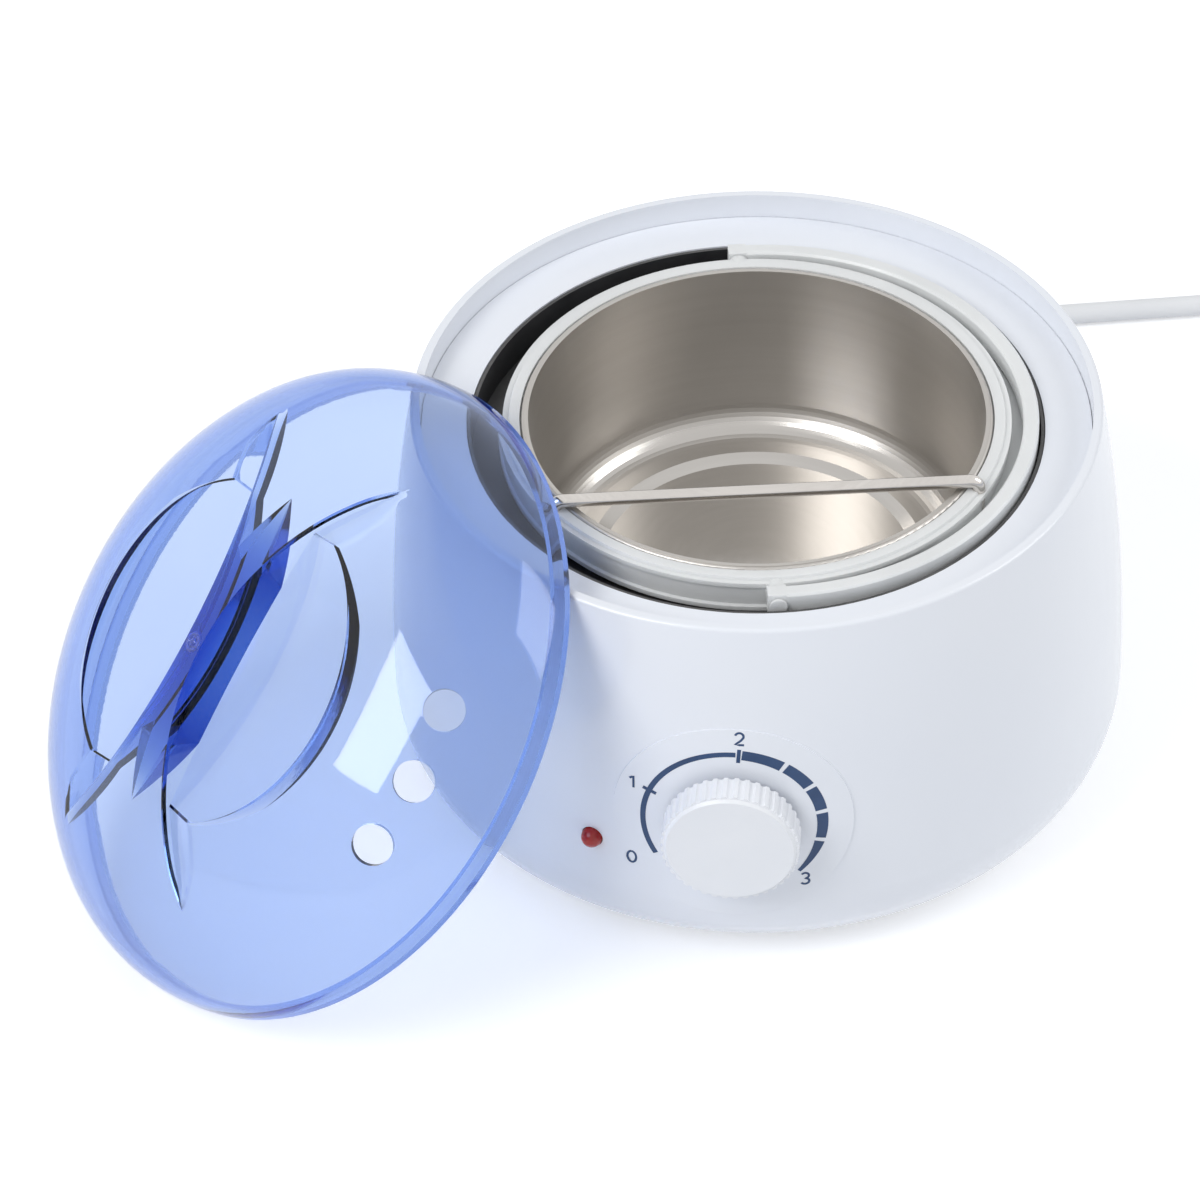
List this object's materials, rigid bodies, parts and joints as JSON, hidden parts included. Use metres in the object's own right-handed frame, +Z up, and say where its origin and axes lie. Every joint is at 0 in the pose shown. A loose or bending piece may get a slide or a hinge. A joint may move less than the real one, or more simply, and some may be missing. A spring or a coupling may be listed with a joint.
{
  "type": "wax warmer",
  "caption": "Round tabletop wax warmer with a lift-out metal pot, swing handle, wiper bar, dial knob and a clear domed lid leaning against it.",
  "frame": {"origin": "on the table under the body's axis, at the underside of its rubber ring", "axes": "+Z up along the body's axis, -Y towards the knob, +X to the right as seen from the knob"},
  "size_m": [0.448, 0.3979, 0.1257],
  "materials": {
    "white_shell": "glossy white moulding",
    "white_knob": "white moulding with grooves",
    "foot_rubber": "matt rubber",
    "screw_steel": "zinc plated",
    "well_coating": "matt black coating",
    "heater_metal": "cast plate",
    "insulation": "mineral fibre",
    "fuse_case": "tinned case",
    "switch_plastic": "dark moulding",
    "shaft_metal": "turned",
    "lamp_red": "clear red lens",
    "fitting_plastic": "natural moulding",
    "wire_sheath": "silicone sheath",
    "cord_sheath": "white sheath",
    "tie_plastic": "dark strap",
    "plug_plastic": "white moulding",
    "pin_metal": "plated",
    "pot_metal": "satin inside, polished floor",
    "milky_plastic": "milky translucent moulding",
    "bar_wire": "bright wire",
    "lid_clear": "clear blue moulding"
  },
  "bodies": {
    "base": {"body_shell": "white_shell", "top_ring": "white_shell", "base_plate": "white_shell", "foot_ring": "foot_rubber", "base_screws": "screw_steel", "heating_well": "well_coating", "well_screws": "screw_steel", "heater_plate": "heater_metal", "insulation_sleeve": "insulation", "thermal_fuse": "fuse_case", "thermostat": "switch_plastic", "thermostat_nut": "screw_steel", "lamp_lens": "lamp_red", "lamp_holder": "fitting_plastic", "terminal_block": "fitting_plastic", "inner_leads": "wire_sheath", "cord_gland": "cord_sheath", "cord_lead": "cord_sheath", "cord_coil": "cord_sheath", "coil_tie": "tie_plastic", "plug_body": "plug_plastic", "plug_pins": "pin_metal"},
    "pot": {"pot_bowl": "pot_metal", "pot_collar": "milky_plastic", "handle_pins": "milky_plastic", "wiper_bar": "bar_wire"},
    "handle": {"pot_handle": "milky_plastic"},
    "knob": {"control_knob": "white_knob", "knob_shaft": "shaft_metal"},
    "lid": {"lid": "lid_clear"}
  },
  "joints": [
    {"name": "pot_lift", "type": "slide", "parent": "base", "child": "pot", "axis": [0, 0, 1], "range_m": [0, 0.1]},
    {"name": "handle_swing", "type": "hinge", "parent": "pot", "child": "handle", "pos_m": [0, 0, 0.0991], "axis": [0.1392, -0.9903, 0], "range_deg": [0, 150]},
    {"name": "knob_turn", "type": "hinge", "parent": "base", "child": "knob", "pos_m": [0, -0.09, 0.0507], "axis": [0, 1, 0], "range_deg": [0, 257]},
    {"name": "lid_lift", "type": "slide", "parent": "base", "child": "lid", "axis": [0, 0, 1], "range_m": [0, 0.12]}
  ]
}
